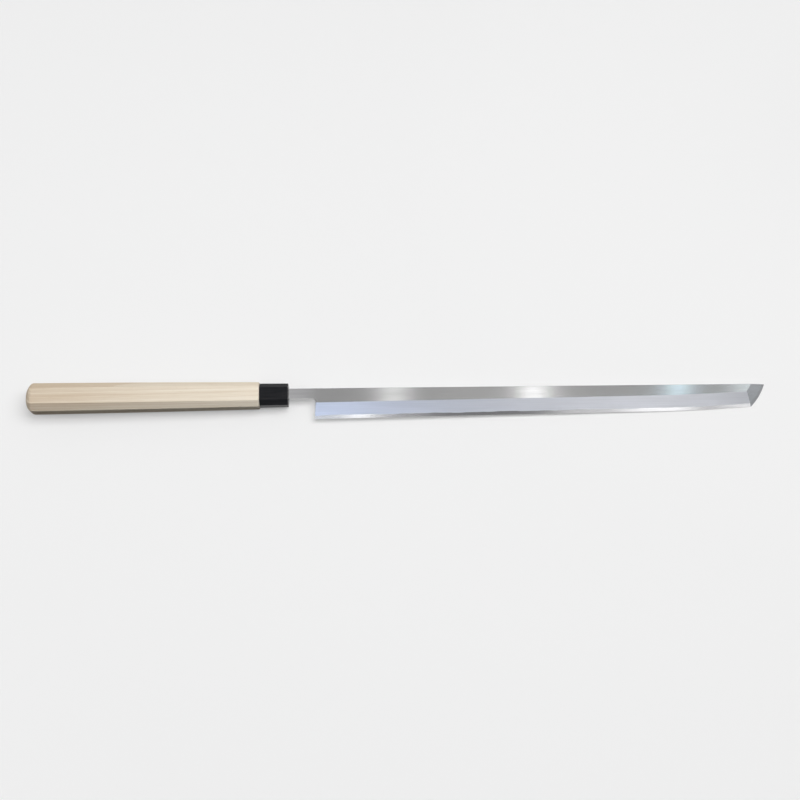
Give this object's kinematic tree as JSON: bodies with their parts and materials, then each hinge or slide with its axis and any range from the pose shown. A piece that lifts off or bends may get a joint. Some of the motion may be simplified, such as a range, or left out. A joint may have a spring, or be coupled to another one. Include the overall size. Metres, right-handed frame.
{
  "type": "tuna knife",
  "caption": "Long single-bevel slicing knife: laminated hollow-ground blade with a sword-like tip, black octagonal ferrule, pale octagonal handle.",
  "frame": {"origin": "under the middle of the bounding box, at the level of the lowest face of the handle", "axes": "+X along the knife from the butt to the point, +Y towards the spine, +Z out of the bevelled face; the knife lies on its hollow side"},
  "size_m": [0.7876, 0.0412, 0.0285],
  "materials": {
    "soft_iron": "satin polished soft iron, with a soft haze on the bevel",
    "hard_steel": "bright polished hard steel",
    "horn": "polished black buffalo horn",
    "wood": "bare pale magnolia wood, sanded smooth"
  },
  "bodies": {
    "root": {"blade_core": "soft_iron", "edge_steel": "hard_steel", "ferrule": "horn", "handle": "wood"}
  },
  "joints": []
}
